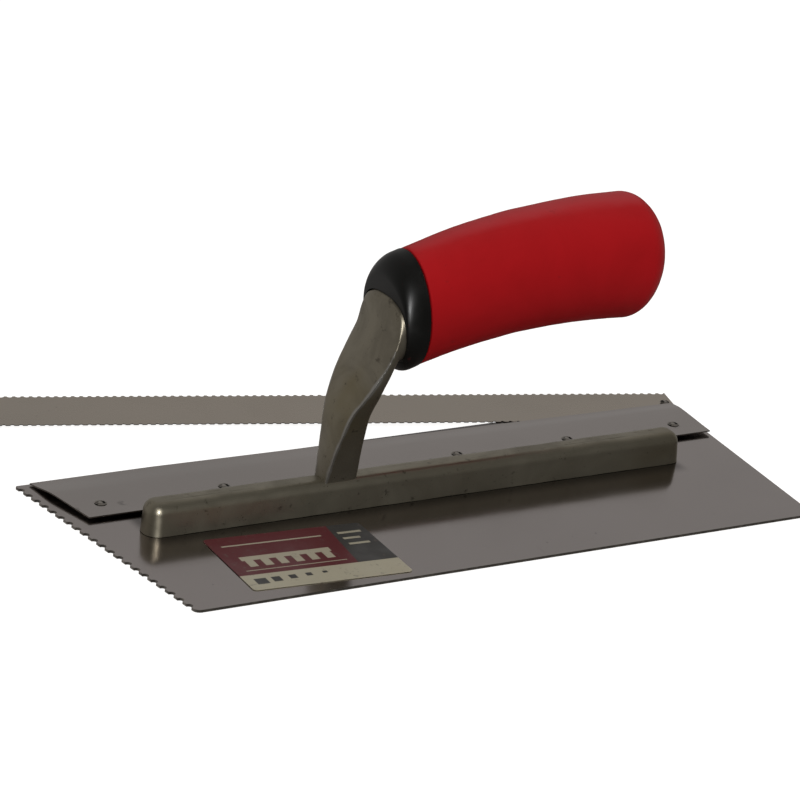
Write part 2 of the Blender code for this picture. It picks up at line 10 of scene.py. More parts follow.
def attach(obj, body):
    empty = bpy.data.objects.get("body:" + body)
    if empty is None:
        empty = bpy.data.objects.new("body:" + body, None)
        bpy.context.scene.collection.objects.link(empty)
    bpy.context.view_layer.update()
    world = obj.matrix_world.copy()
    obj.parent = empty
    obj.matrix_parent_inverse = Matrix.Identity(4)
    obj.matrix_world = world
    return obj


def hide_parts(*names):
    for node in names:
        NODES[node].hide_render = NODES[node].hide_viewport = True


MM = 0.001
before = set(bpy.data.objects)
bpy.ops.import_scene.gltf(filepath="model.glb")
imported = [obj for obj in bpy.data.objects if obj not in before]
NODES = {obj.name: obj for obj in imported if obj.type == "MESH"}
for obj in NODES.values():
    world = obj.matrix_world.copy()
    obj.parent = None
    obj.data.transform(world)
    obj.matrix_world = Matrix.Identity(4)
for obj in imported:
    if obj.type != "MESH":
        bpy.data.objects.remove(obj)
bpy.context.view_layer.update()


# Sizes that the shapes share

GAP = 0.3 * MM
BLADE_TOP = 1.0 * MM
REAR_LENGTH = 279.4 * MM
FRONT_LENGTH = 254.0 * MM
DEPTH = 114.3 * MM
REAR_INSET = 1.6 * MM  # how far the photo's rear edge is in front of the CAD's
END_NOTCH_START = 4.0 * MM
END_NOTCH_PITCH = 5.25 * MM
END_NOTCH_RADIUS = 1.4 * MM
END_NOTCHES = 21
STRIP_NOTCHES = 88
PIVOT = (136.2 * MM, 51.3 * MM)
STRIP_ANGLE = math.radians(-16.2)
RIVET_ROW = 29.2 * MM
SPOT_ROW = 27.0 * MM
SPOT_FIRST = -93.8 * MM
SPOT_PITCH = 18.2 * MM
CLAMP_RIVET_FIRST = -119.4 * MM
CLAMP_RIVET_PITCH = 48.8 * MM
CLAMP_RIVETS = 6
CLAMP_RIVET_RADIUS = 1.3 * MM
PIVOT_RADIUS = 1.2 * MM
SPINE_RIVET_FIRST = -103.0 * MM
SPINE_RIVET_PITCH = 38.5 * MM
SPINE_RIVETS = 6
SPINE_RIVET_RADIUS = 1.6 * MM
SPINE_LEFT = -115.6 * MM
SPINE_RIGHT = 107.2 * MM
SPINE_FRONT = -0.9 * MM
SPINE_WIDTH = 11.5 * MM
SPINE_BOTTOM = 1.03 * MM
SPINE_TOP = 11.2 * MM  # the CAD spine's, where the neck starts
SPINE_NOSE = 5.3 * MM
SPINE_CORNER = 3.4 * MM
SPINE_CREST = 12.9 * MM
SPINE_DRAFT = 0.5 * MM
SPINE_ROUND = (3.3 * MM, 4.2 * MM)
MID_Y = SPINE_FRONT + SPINE_WIDTH / 2
NECK_BOTTOM = SPINE_TOP + GAP
NECK_POINTS = 96
RIDGE_REACH = 8.0 * MM
BOSS_TOP = 8.6 * MM
BOSS_BOTTOM = 14.4 * MM
BOSS_HALF_WIDTH = 14.2 * MM
BOSS_SQUARE = 2.6
SOCKET_END = -1.5 * MM
HANDLE_X = -17.1 * MM
HANDLE_Z = 73.5 * MM
HANDLE_SLOPE = math.radians(16.9)
HANDLE_BEND = math.radians(-0.212) / MM
SLEEVE_LENGTH = 102.3 * MM
HALF_HEIGHT = 21.3 * MM
HALF_HEIGHT_GAIN = 2.2 * MM
WIDTH_SHARE_FRONT = 0.77
WIDTH_SHARE_REAR = 0.95
FRONT_LEAN = math.radians(-10.8)
LEAN_FADES = 30.0 * MM
COLLAR_LENGTH = 9.3 * MM
COLLAR_ROUND = 6.4 * MM
COLLAR_SIDE_ROUND = 1.5 * MM
HANDLE_POINTS = 120
TANG_FOOT = (-20.1 * MM, 70.0 * MM)
TANG_SLOPE = math.radians(8.0)
TANG_BORE_RADIUS = 3.3 * MM
TANG_POCKET_END = 92.5 * MM


# Camera

CAMERA_PLACE = Vector((-0.64715, -0.96559, 0.48448))
AZIMUTH = math.radians(-33.03)
ELEVATION = math.radians(21.07)
ROLL = math.radians(5.9)
LENS = 158.12
AIM = Vector((0, 0, 0.04))
ROOM_FRONT = (0.085, 0.083, 0.078)
ROOM_BACK = (0.32, 0.312, 0.305)


def make_camera():
    back = Vector(
        (
            math.sin(AZIMUTH) * math.cos(ELEVATION),
            -math.cos(AZIMUTH) * math.cos(ELEVATION),
            math.sin(ELEVATION),
        )
    )
    level_right = (-back).cross(Vector((0, 0, 1))).normalized()
    level_down = (-back).cross(level_right)
    right = level_right * math.cos(ROLL) - level_down * math.sin(ROLL)
    up = -(level_right * math.sin(ROLL) + level_down * math.cos(ROLL))
    data = bpy.data.cameras.new("camera")
    data.lens = LENS
    data.sensor_width = 36.0
    data.clip_start = 0.05
    data.clip_end = 20.0
    camera = bpy.data.objects.new("camera", data)
    turn = Matrix((right, up, back)).transposed()
    camera.matrix_world = Matrix.Translation(CAMERA_PLACE) @ turn.to_4x4()
    bpy.context.scene.collection.objects.link(camera)
    bpy.context.scene.camera = camera


# Light


def add_area(name, place, size, power, glossy=True, diffuse=True):
    data = bpy.data.lights.new(name, "AREA")
    data.shape = "RECTANGLE"
    data.size, data.size_y = size
    data.energy = power
    light = bpy.data.objects.new(name, data)
    light.location = place
    light.rotation_euler = (AIM - Vector(place)).to_track_quat("-Z", "Y").to_euler()
    light.visible_glossy = glossy
    light.visible_diffuse = diffuse
    bpy.context.scene.collection.objects.link(light)


def make_light():
    """A dim room, darker in front, with three lights that don't show in the steel, and two that show
    only as glints."""
    world = bpy.data.worlds.new("studio")
    bpy.context.scene.world = world
    world.use_nodes = True
    tree = world.node_tree
    place = tree.nodes.new("ShaderNodeTexCoord")
    apart = tree.nodes.new("ShaderNodeSeparateXYZ")
    tree.links.new(place.outputs["Generated"], apart.inputs[0])
    share = tree.nodes.new("ShaderNodeMapRange")
    share.interpolation_type = "SMOOTHSTEP"
    share.inputs["From Min"].default_value = -0.75
    share.inputs["From Max"].default_value = 0.65
    tree.links.new(apart.outputs["Y"], share.inputs["Value"])
    ramp = tree.nodes.new("ShaderNodeValToRGB")
    ramp.color_ramp.elements[0].color = (*ROOM_FRONT, 1)
    ramp.color_ramp.elements[1].color = (*ROOM_BACK, 1)
    tree.links.new(share.outputs[0], ramp.inputs[0])
    tree.links.new(ramp.outputs[0], tree.nodes["Background"].inputs[0])
    add_area("key", (-0.35, -0.95, 1.15), (0.8, 0.8), 9.6, glossy=False)
    add_area("fill", (-0.25, -1.28, 0.08), (0.5, 0.2), 4.8, glossy=False)
    add_area("overhead", (0.05, 0.25, 1.3), (0.6, 0.6), 2.0, glossy=False)
    add_area("nose_glint", (-0.50, -1.26, 0.30), (0.12, 0.56), 11.0, diffuse=False)
    add_area("collar_glint", (0.80, -0.85, 1.05), (0.10, 0.5), 1.2, diffuse=False)


def light_only(light, names):
    """A glint that shows on these pieces alone, so that it doesn't flare on the polished sheets."""
    lit = bpy.data.collections.new(f"lit_by_{light}")
    for name in names:
        lit.objects.link(bpy.data.objects[name])
    bpy.data.objects[light].light_linking.receiver_collection = lit


def make_floor():
    mesh = bpy.data.meshes.new("floor")
    far = 6.0
    mesh.from_pydata([(-far, -far, 0), (far, -far, 0), (far, far, 0), (-far, far, 0)], [], [(0, 1, 2, 3)])
    floor = bpy.data.objects.new("floor", mesh)
    floor.location.z = -0.0002
    floor.visible_glossy = False
    floor.visible_diffuse = False
    bpy.context.scene.collection.objects.link(floor)
    made = bpy.data.materials.new("floor_paper")
    made.use_nodes = True
    shader = made.node_tree.nodes["Principled BSDF"]
    shader.inputs["Base Color"].default_value = (0.36, 0.355, 0.35, 1)
    shader.inputs["Roughness"].default_value = 0.9
    shader.inputs["Specular IOR Level"].default_value = 0.1
    shader.inputs["Emission Color"].default_value = (1.0, 0.99, 0.98, 1)
    shader.inputs["Emission Strength"].default_value = 0.93
    mesh.materials.append(made)


# Materials


class Graph:
    """A material's nodes, in the coordinates of the piece that they are painted on."""

    def __init__(self, name, **values):
        self.material = bpy.data.materials.new(name)
        self.material.use_nodes = True
        self.tree = self.material.node_tree
        self.shader = self.tree.nodes["Principled BSDF"]
        for key, value in values.items():
            self.set(key.replace("_", " "), value)
        self.place = self.tree.nodes.new("ShaderNodeTexCoord").outputs["Object"]

    def set(self, socket, value):
        self.shader.inputs[socket].default_value = (*value, 1) if isinstance(value, tuple) else value

    def feed(self, socket, output):
        self.tree.links.new(output, self.shader.inputs[socket])

    def node(self, kind, *inputs, **settings):
        made = self.tree.nodes.new("ShaderNode" + kind)
        for key, value in settings.items():
            setattr(made, key, value)
        for i, value in enumerate(inputs):
            if isinstance(value, bpy.types.NodeSocket):
                self.tree.links.new(value, made.inputs[i])
            else:
                made.inputs[i].default_value = value
        return made

    def scaled(self, x=1.0, y=1.0, z=1.0, shift=(0, 0, 0), turn=0.0):
        made = self.node("Mapping", self.place)
        made.inputs["Location"].default_value = shift
        made.inputs["Rotation"].default_value = (0, 0, turn)
        made.inputs["Scale"].default_value = (x, y, z)
        return made.outputs[0]

    def noise(self, scale, detail=3.0, rough=0.5, place=None, warp=0.0):
        made = self.node("TexNoise", place or self.place)
        made.inputs["Scale"].default_value = scale
        made.inputs["Detail"].default_value = detail
        made.inputs["Roughness"].default_value = rough
        made.inputs["Distortion"].default_value = warp
        return made.outputs[0]

    def cells(self, scale):
        made = self.node("TexVoronoi", self.place)
        made.inputs["Scale"].default_value = scale
        return made.outputs["Distance"]

    def math(self, operation, a, b=0.0):
        return self.node("Math", a, b, operation=operation).outputs[0]

    def between(self, value, low, high, out_low=0.0, out_high=1.0, smooth=True):
        kind = "SMOOTHSTEP" if smooth else "LINEAR"
        made = self.node("MapRange", value, low, high, out_low, out_high, interpolation_type=kind)
        return made.outputs[0]

    def mix(self, share, a, b, how="MIX"):
        made = self.tree.nodes.new("ShaderNodeMix")
        made.data_type = "RGBA"
        made.blend_type = how
        for socket, value in ((made.inputs[0], share), (made.inputs[6], a), (made.inputs[7], b)):
            if isinstance(value, bpy.types.NodeSocket):
                self.tree.links.new(value, socket)
            elif isinstance(value, tuple):
                socket.default_value = (*value, 1)
            else:
                socket.default_value = value
        return made.outputs[2]

    def bump(self, *layers):
        """Each layer is (height, strength, depth in metres)."""
        normal = None
        for height, strength, depth in layers:
            made = self.tree.nodes.new("ShaderNodeBump")
            made.inputs["Strength"].default_value = strength
            made.inputs["Distance"].default_value = depth
            self.tree.links.new(height, made.inputs["Height"])
            if normal is not None:
                self.tree.links.new(normal, made.inputs["Normal"])
            normal = made.outputs[0]
        self.feed("Normal", normal)


def sheet_steel(name, color, tint, roughness, smudge, turn=0.0, brushed=0.6, marking=None):
    """Rolled sheet: fine grain along its length, soft smudges, small specks, and dark sheared edges."""
    g = Graph(name, Metallic=1.0, Anisotropic=brushed)
    if brushed:
        g.feed("Tangent", g.node("Tangent", direction_type="UV_MAP", uv_map="grain").outputs[0])
    grain = g.noise(1.0, 2.0, 0.6, g.scaled(60, 2600, 900, turn=turn))
    cloud = g.noise(22.0, 4.0, 0.6, warp=0.6)
    wide = g.noise(7.0, 2.0, 0.5)
    specks = g.between(g.cells(260.0), 0.05, 0.11, 1.0, 0.0)
    rare = g.between(g.noise(55.0, 2.0, 0.5), 0.60, 0.68)
    marks = g.math("MULTIPLY", specks, rare)
    scratch = g.between(g.noise(1.0, 2.0, 0.5, g.scaled(900, 40, 300, turn=0.35)), 0.70, 0.73)
    patch = g.between(g.noise(30.0, 2.0, 0.5, g.scaled(shift=(0.3, 0.1, 0))), 0.60, 0.66)
    scratch = g.math("MULTIPLY", scratch, patch)
    base = g.mix(g.between(wide, 0.35, 0.68), color, tint)
    base = g.mix(g.between(cloud, 0.42, 0.72, 0.0, smudge), base, tuple(c * 0.8 for c in color))
    base = g.mix(g.math("MULTIPLY", scratch, 0.4), base, tuple(c * 0.6 for c in color))
    base = g.mix(marks, base, tuple(c * 0.3 for c in color))
    if marking:
        share, tone = marking(g)
        base = g.mix(share, base, tuple(c * tone for c in color))
    up = g.node("SeparateXYZ", g.node("NewGeometry").outputs["True Normal"]).outputs[2]
    face = g.between(up, 0.55, 0.7)
    edge = g.mix(g.between(g.noise(300.0, 3.0, 0.6), 0.4, 0.7), (0.34, 0.315, 0.29), (0.55, 0.51, 0.46))
    g.feed("Base Color", g.mix(face, edge, base))
    rough = g.between(cloud, 0.3, 0.75, roughness, roughness + 0.05)
    rough = g.math("ADD", rough, g.between(grain, 0.3, 0.7, -0.01, 0.02, smooth=False))
    g.feed("Roughness", g.math("ADD", rough, g.between(up, 0.55, 0.7, 0.4, 0.0)))
    g.bump((grain, 0.03, 0.01 * MM), (wide, 0.04, 0.25 * MM))
    return g


def spot_marks(g):
    """A row of faint darker spots just behind the plate's front edge, for sheet_steel."""
    apart = g.node("SeparateXYZ", g.place)
    along = g.math("DIVIDE", g.math("SUBTRACT", apart.outputs[0], SPOT_FIRST), SPOT_PITCH)
    along = g.math("SUBTRACT", along, g.math("ROUND", along))
    along = g.math("MULTIPLY", along, SPOT_PITCH)
    deep = g.math("SUBTRACT", apart.outputs[1], SPOT_ROW)
    radius = g.math("SQRT", g.math("ADD", g.math("MULTIPLY", along, along), g.math("MULTIPLY", deep, deep)))
    broken = g.between(g.noise(420.0, 3.0, 0.6), 0.40, 0.62)
    return g.math("MULTIPLY", g.between(radius, 0.9 * MM, 2.4 * MM, 0.7, 0.0), broken), 0.45


def spine_reflection(g):
    """A darker band on the blade along the spine's front, which imitates the deep reflection there."""
    apart = g.node("SeparateXYZ", g.place)
    deep = g.between(apart.outputs[1], SPINE_FRONT - 9 * MM, SPINE_FRONT, 0.0, 0.75)
    left = g.between(apart.outputs[0], SPINE_LEFT - 1 * MM, SPINE_LEFT + 4 * MM)
    right = g.between(apart.outputs[0], SPINE_RIGHT - 4 * MM, SPINE_RIGHT + 1 * MM, 1.0, 0.0)
    return g.math("MULTIPLY", deep, g.math("MULTIPLY", left, right)), 0.12


# the ridges' colour: partly rubbed wear, partly a painted highlight
WEAR_AND_HIGHLIGHT = (0.43, 0.42, 0.395)


def tumbled_alloy(name, color, stain, dark, roughness=0.42, sides=1.0, worn=0.0):
    """Cast and tumbled light alloy that has tarnished: dull, with brown stains and dark specks. Its sides
    may be painted darker, as shade, and its ridges lighter, partly wear and partly a painted highlight."""
    g = Graph(name, Metallic=0.92)
    cloud = g.noise(45.0, 5.0, 0.62, warp=0.8)
    wide = g.noise(14.0, 3.0, 0.55, g.scaled(0.6, 1.6, 1.6))
    pits = g.between(g.cells(900.0), 0.08, 0.2, 1.0, 0.0)
    some = g.between(g.noise(120.0, 2.0, 0.6), 0.57, 0.68)
    pits = g.math("MULTIPLY", pits, some)
    base = g.mix(g.between(cloud, 0.38, 0.66), color, tuple(c * 0.80 for c in color))
    base = g.mix(g.between(wide, 0.42, 0.70, 0.0, 0.85), base, stain)
    grime = g.between(g.noise(260.0, 3.0, 0.7), 0.60, 0.74, 0.0, 0.6)
    base = g.mix(grime, base, dark)
    base = g.mix(pits, base, tuple(c * 0.4 for c in dark))
    # painted shade: low down, the sides that face across the part are made darker
    if sides < 1:
        side = g.node("SeparateXYZ", g.node("NewGeometry").outputs["Normal"]).outputs[1]
        side = g.between(g.math("ABSOLUTE", side), 0.70, 0.90)
        low = g.between(g.node("SeparateXYZ", g.place).outputs[2], 44 * MM, 58 * MM, 1.0, 0.0)
        side = g.math("MULTIPLY", side, low)
        base = g.mix(side, base, (sides, sides, sides), "MULTIPLY")
    # a lighter line along the ridges: partly wear, partly a painted highlight
    if worn:
        ridge = g.node("Attribute", attribute_name="ridge").outputs["Fac"]
        ridge = g.math("ADD", ridge, g.between(g.noise(150.0, 2.0, 0.6), 0.3, 0.7, -0.06, 0.04))
        base = g.mix(g.between(ridge, 0.84, 0.97, 0.0, worn), base, WEAR_AND_HIGHLIGHT)
    g.feed("Base Color", base)
    fine = g.noise(1400.0, 2.0, 0.6)
    g.feed("Roughness", g.between(cloud, 0.3, 0.75, roughness - 0.05, roughness + 0.12))
    g.bump((fine, 0.10, 0.03 * MM), (cloud, 0.15, 0.25 * MM), (pits, -0.25, 0.06 * MM))
    return g


def rivet_steel():
    """Peened heads: dark in the hollow of the ring, brighter where they were struck."""
    g = Graph("rivet_peened", Metallic=0.95)
    apart = g.node("SeparateXYZ", g.place)
    across = g.math("MULTIPLY", apart.outputs[0], apart.outputs[0])
    deep = g.math("MULTIPLY", apart.outputs[1], apart.outputs[1])
    radius = g.math("SQRT", g.math("ADD", across, deep))
    rough_edge = g.between(g.noise(900.0, 3.0, 0.6), 0.3, 0.7, -0.25 * MM, 0.25 * MM)
    radius = g.math("ADD", radius, rough_edge)
    hollow = g.between(radius, 0.5 * MM, 0.8 * MM)
    hollow = g.math("MULTIPLY", hollow, g.between(radius, 1.7 * MM, 1.95 * MM, 1.0, 0.0))
    rim = g.between(radius, 2.0 * MM, 2.25 * MM)
    gaps = g.between(g.noise(420.0, 2.0, 0.5), 0.38, 0.52, 0.2, 1.0)
    dark = g.math("MULTIPLY", g.math("MAXIMUM", hollow, rim), gaps)
    base = g.mix(g.between(g.noise(600.0), 0.35, 0.7), (0.44, 0.41, 0.37), (0.34, 0.31, 0.27))
    g.feed("Base Color", g.mix(dark, base, (0.02, 0.018, 0.015)))
    g.feed("Roughness", g.between(dark, 0.0, 1.0, 0.30, 0.65))
    g.bump((g.noise(1500.0, 2.0, 0.6), 0.15, 0.04 * MM))
    return g


def moulded_plastic():
    g = Graph("core_black", IOR=1.46)
    g.set("Specular IOR Level", 0.38)
    fine = g.noise(1500.0, 2.0, 0.5)
    dust = g.between(g.noise(160.0, 4.0, 0.7), 0.55, 0.75, 0.0, 0.35)
    base = g.mix(dust, (0.0035, 0.0035, 0.003), (0.014, 0.013, 0.012))
    rub = g.between(g.noise(420.0, 2.0, 0.6), 0.70, 0.76, 0.0, 0.6)
    g.feed("Base Color", g.mix(rub, base, (0.045, 0.008, 0.007)))
    g.feed("Roughness", g.between(g.noise(60.0, 3.0, 0.5), 0.3, 0.7, 0.30, 0.44))
    g.bump((fine, 0.12, 0.04 * MM))
    return g


def grip_rubber():
    """Soft red rubber with a lighter top, partly dust and partly a painted sheen, and small nicks."""
    g = Graph("sleeve_red", IOR=1.45)
    g.set("Specular IOR Level", 0.28)
    cloud = g.noise(32.0, 4.0, 0.6, warp=0.5)
    skin = g.noise(1900.0, 2.0, 0.6)
    up = g.node("SeparateXYZ", g.node("NewGeometry").outputs["Normal"]).outputs[2]
    # partly dust, partly a painted sheen: the top, chosen by its normal, is made lighter
    dust_and_sheen = g.math("MULTIPLY", g.between(up, 0.88, 1.02), g.between(cloud, 0.30, 0.72, 0.55, 1.0))
    base = g.mix(g.between(cloud, 0.35, 0.7), (0.425, 0.0080, 0.0110), (0.380, 0.0075, 0.0100))
    base = g.mix(g.math("MULTIPLY", dust_and_sheen, 0.45), base, (0.58, 0.09, 0.10))
    scuff = g.between(g.noise(240.0, 3.0, 0.7, g.scaled(0.5, 1, 1)), 0.66, 0.76, 0.0, 0.35)
    g.feed("Base Color", g.mix(scuff, base, (0.22, 0.010, 0.012)))
    g.feed("Roughness", g.between(cloud, 0.3, 0.7, 0.50, 0.62))
    g.bump((skin, 0.14, 0.05 * MM), (cloud, 0.10, 0.25 * MM))
    return g


# Label: flat fields and simple bars, in the label's own coordinates

LABEL_PLACE = Vector((-70.2, -30.6, 0)) * MM
LABEL_TURN = math.radians(-3.6)


class LabelGraph(Graph):
    """Adds masks that are measured in millimetres from the label's middle."""

    def __init__(self, name, **values):
        super().__init__(name, **values)
        level = self.node("Mapping", self.place, vector_type="TEXTURE")
        level.inputs["Location"].default_value = LABEL_PLACE
        level.inputs["Rotation"].default_value = (0, 0, LABEL_TURN)
        level.inputs["Scale"].default_value = (MM, MM, MM)
        apart = self.node("SeparateXYZ", level.outputs[0])
        self.x, self.y = apart.outputs[0], apart.outputs[1]

    def above(self, value, edge, soft=0.12):
        return self.between(value, edge - soft, edge + soft)

    def within(self, value, low, high):
        beyond = self.math("SUBTRACT", 1.0, self.above(value, high))
        return self.math("MULTIPLY", self.above(value, low), beyond)

    def bar(self, x0, x1, y0, y1):
        across, up = self.within(self.x, x0, x1), self.within(self.y, y0, y1)
        return self.math("MULTIPLY", across, up)


def printed_label():
    g = LabelGraph("label_film", IOR=1.5)
    g.set("Specular IOR Level", 0.4)
    red, black, cream = (0.105, 0.020, 0.024), (0.045, 0.044, 0.042), (0.42, 0.385, 0.285)
    slanted = g.math("ADD", g.x, g.math("MULTIPLY", g.y, -0.08))
    base = g.mix(g.above(slanted, 15.5), red, black)
    base = g.mix(g.math("SUBTRACT", 1.0, g.above(g.y, -9.6)), base, cream)
    # a comb with square teeth, and a rule over and under it
    comb = g.bar(-24.0, 10.0, 1.5, 4.6)
    for i in range(6):
        left = -23.0 + i * 5.8
        comb = g.math("MAXIMUM", comb, g.bar(left, left + 3.1, -3.6, 2.0))
    comb = g.math("MAXIMUM", comb, g.bar(-26.0, 12.0, 13.6, 14.5))
    comb = g.math("MAXIMUM", comb, g.bar(-26.0, 12.0, -6.6, -6.1))
    for i, length in enumerate((9.0, 6.5, 8.0)):
        top = 15.2 - i * 4.6
        comb = g.math("MAXIMUM", comb, g.bar(18.6, 18.6 + length, top - 1.5, top))
    base = g.mix(g.math("MULTIPLY", comb, 0.9), base, cream)
    # steps of growing length along the cream field
    steps = g.bar(-26.5, -22.0, -17.2, -12.8)
    for i in range(1, 5):
        left = -26.5 + i * 6.4
        steps = g.math("MAXIMUM", steps, g.bar(left, left + 3.8 - 0.5 * i, -17.2 + 0.7 * i, -12.8))
    base = g.mix(steps, base, black)
    worn = g.between(g.noise(420.0, 4.0, 0.7), 0.58, 0.70, 0.0, 0.5)
    base = g.mix(worn, base, (0.12, 0.10, 0.085))
    g.feed("Base Color", base)
    g.feed("Roughness", g.between(g.noise(120.0, 3.0, 0.5), 0.3, 0.7, 0.30, 0.46))
    g.bump((g.noise(500.0, 3.0, 0.5), 0.08, 0.04 * MM))
    return g


# Shapes


def circle(x, y, radius, steps=48):
    turns = (2 * math.pi * i / steps for i in range(steps))
    return [(x + radius * math.cos(a), y + radius * math.sin(a)) for a in turns]


def rounded_corner(before, corner, after, radius, steps):
    """The arc that replaces a corner of an outline."""
    corner = Vector(corner)
    back = (Vector(before) - corner).normalized()
    ahead = (Vector(after) - corner).normalized()
    half = back.angle(ahead) / 2
    centre = corner + (back + ahead).normalized() * radius / math.sin(half)
    first = corner + back * radius / math.tan(half) - centre
    last = corner + ahead * radius / math.tan(half) - centre
    sweep = math.pi - 2 * half
    points = []
    for i in range(steps + 1):
        part = i / steps
        arm = first * math.sin((1 - part) * sweep) + last * math.sin(part * sweep)
        points.append(tuple(centre + arm / math.sin(sweep)))
    return points


def rounded_outline(corners, radii, steps=8, sides=(1, 1)):
    """Sides is how many steps each straight side has, for the first and the next, in turn."""
    count = len(corners)
    arcs = [
        rounded_corner(corners[i - 1], corners[i], corners[(i + 1) % count], radii[i], steps)
        for i in range(count)
    ]
    points = []
    for i, arc in enumerate(arcs):
        start, end = Vector(arc[-1]), Vector(arcs[(i + 1) % count][0])
        along = sides[i % 2]
        points += arc
        points += [tuple(start.lerp(end, k / along)) for k in range(1, along)]
    return points


def notches(start, end, first, pitch, count, radius, steps=8):
    """Half-round notches into the edge that runs from start to end, with the piece on its left."""
    start = Vector(start)
    along = (Vector(end) - start).normalized()
    inward = Vector((-along.y, along.x))
    points = []
    for i in range(count):
        centre = start + along * (first + pitch * i)
        for k in range(steps + 1):
            turn = math.pi * k / steps
            back = along * radius * math.cos(turn)
            points.append(tuple(centre - back + inward * radius * math.sin(turn)))
    return points


def tidy(shape):
    bmesh.ops.remove_doubles(shape, verts=shape.verts, dist=0.0005 * MM)
    bmesh.ops.recalc_face_normals(shape, faces=shape.faces)


def flat_mesh(name, outlines, bottom, top):
    """The first outline extruded from bottom to top, with the other outlines as holes through it."""
    curve = bpy.data.curves.new(name + "_outline", "CURVE")
    curve.dimensions = "2D"
    curve.fill_mode = "BOTH"
    curve.extrude = (top - bottom) / 2
    for outline in outlines:
        spline = curve.splines.new("POLY")
        spline.points.add(len(outline) - 1)
        spline.use_cyclic_u = True
        for point, (x, y) in zip(spline.points, outline):
            point.co = (x, y, 0, 1)
    guide = bpy.data.objects.new(name + "_guide", curve)
    bpy.context.scene.collection.objects.link(guide)
    bpy.context.view_layer.update()
    mesh = bpy.data.meshes.new_from_object(guide.evaluated_get(bpy.context.evaluated_depsgraph_get()))
    bpy.data.objects.remove(guide, do_unlink=True)
    mesh.name = name
    mesh.materials.clear()
    shape = bmesh.new()
    shape.from_mesh(mesh)
    bmesh.ops.translate(shape, verts=shape.verts, vec=(0, 0, (bottom + top) / 2))
    tidy(shape)
    shape.to_mesh(mesh)
    shape.free()
    return mesh


def loft_mesh(name, rings):
    """One skin through rings of equal length, with a cap at each end."""
    shape = bmesh.new()
    loops = [[shape.verts.new(point) for point in ring] for ring in rings]
    for near, far in zip(loops, loops[1:]):
        for i in range(len(near)):
            shape.faces.new((near[i - 1], near[i], far[i], far[i - 1]))
    shape.faces.new(loops[0])
    shape.faces.new(loops[-1])
    tidy(shape)
    mesh = bpy.data.meshes.new(name)
    shape.to_mesh(mesh)
    shape.free()
    return mesh


def turned_mesh(name, profile, steps=48):
    """The profile is (radius, height) from top to bottom, and both of its ends are on the axis."""
    shape = bmesh.new()
    top = shape.verts.new((0, 0, profile[0][1]))
    low = shape.verts.new((0, 0, profile[-1][1]))
    loops = []
    for radius, height in profile[1:-1]:
        loops.append([shape.verts.new((x, y, height)) for x, y in circle(0, 0, radius, steps)])
    for i in range(steps):
        shape.faces.new((top, loops[0][i - 1], loops[0][i]))
        shape.faces.new((low, loops[-1][i], loops[-1][i - 1]))
        for near, far in zip(loops, loops[1:]):
            shape.faces.new((near[i - 1], near[i], far[i], far[i - 1]))
    tidy(shape)
    mesh = bpy.data.meshes.new(name)
    shape.to_mesh(mesh)
    shape.free()
    return mesh


def cut(mesh, cutters):
    """The mesh with all the cutters' solids taken out of it."""
    body = bpy.data.objects.new(mesh.name + "_body", mesh)
    bpy.context.scene.collection.objects.link(body)
    helpers = [body]
    for i, cutter in enumerate(cutters):
        helper = bpy.data.objects.new(f"{mesh.name}_cutter_{i}", cutter)
        bpy.context.scene.collection.objects.link(helper)
        helpers.append(helper)
        modifier = body.modifiers.new("cut", "BOOLEAN")
        modifier.operation = "DIFFERENCE"
        modifier.solver = "EXACT"
        modifier.object = helper
    bpy.context.view_layer.update()
    made = bpy.data.meshes.new_from_object(body.evaluated_get(bpy.context.evaluated_depsgraph_get()))
    for helper in helpers:
        bpy.data.objects.remove(helper, do_unlink=True)
    made.name = mesh.name
    return made


def dent(mesh, depth, scale):
    """Pushes the surface in along its normals, unevenly, by up to this depth."""
    normals = [v.normal.copy() for v in mesh.vertices]
    for vertex, normal in zip(mesh.vertices, normals):
        share = 0.5 + 0.5 * noise.fractal(vertex.co * scale, 1.0, 2.0, 3)
        vertex.co -= normal * depth * min(max(share, 0), 1)


def lay_grain(mesh):
    """A flat map whose first direction is along the part, which the brushed finish follows."""
    layer = mesh.uv_layers.new(name="grain")
    for loop in mesh.loops:
        place = mesh.vertices[loop.vertex_index].co
        layer.uv[loop.index].vector = (place.x, place.y)


def add_piece(name, mesh, graph, body, nodes, sharp=None, place=None):
    piece = bpy.data.objects.new(name, mesh)
    bpy.context.scene.collection.objects.link(piece)
    mesh.materials.clear()
    mesh.materials.append(graph.material)
    if sharp:
        mesh.shade_smooth()
        mesh.set_sharp_from_angle(angle=math.radians(sharp))
    if place:
        piece.location = place
    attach(piece, body)
    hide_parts(*nodes)


def paint(node, graph):
    """A CAD node keeps its shape and takes this material."""
    mesh = NODES[node].data
    mesh.materials.clear()
    mesh.materials.append(graph.material)


# Blade, strip and clamp plate


def half_length(y):
    share = y / DEPTH + 0.5
    return (FRONT_LENGTH + (REAR_LENGTH - FRONT_LENGTH) * share) / 2


def clamp_rivet_places():
    return [(CLAMP_RIVET_FIRST + CLAMP_RIVET_PITCH * i, RIVET_ROW) for i in range(CLAMP_RIVETS)]


def spine_rivet_places():
    return [(SPINE_RIVET_FIRST + SPINE_RIVET_PITCH * i, MID_Y) for i in range(SPINE_RIVETS)]


